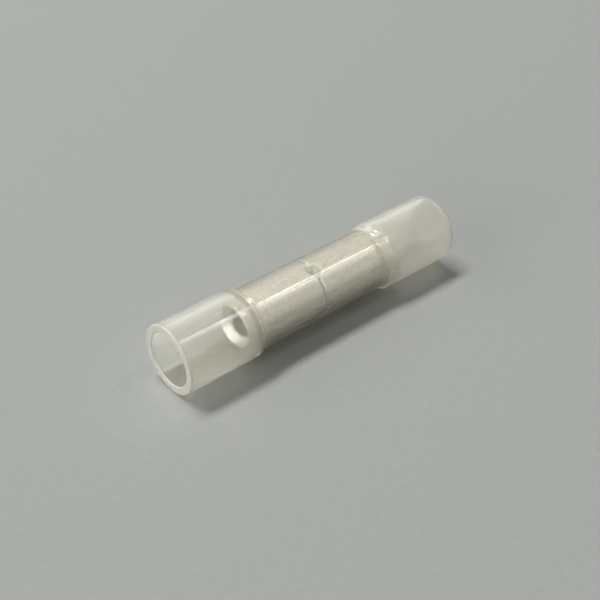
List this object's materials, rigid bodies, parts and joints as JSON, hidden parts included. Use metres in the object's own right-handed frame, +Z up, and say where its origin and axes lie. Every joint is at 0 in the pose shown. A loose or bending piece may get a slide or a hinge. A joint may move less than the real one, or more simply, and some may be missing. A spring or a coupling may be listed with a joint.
{
  "type": "butt splice connector",
  "caption": "Clear nylon sleeve with two bell ends, necked down over a tinned copper barrel, which joins two stranded wires end to end by crimping.",
  "frame": {"origin": "under the middle of the connector, on the surface that its bell ends lie on", "axes": "+X along the connector, +Z up; the dent of the wire stop is on top, turned a little towards -Y"},
  "size_m": [0.0286, 0.006, 0.006],
  "materials": {
    "clear_nylon": "clear natural nylon with a faint cream tint and a slight haze, glossy as extruded",
    "tinned_copper": "satin tin plate over copper tube"
  },
  "bodies": {
    "root": {"insulating_sleeve": "clear_nylon", "crimp_barrel": "tinned_copper"}
  },
  "joints": []
}
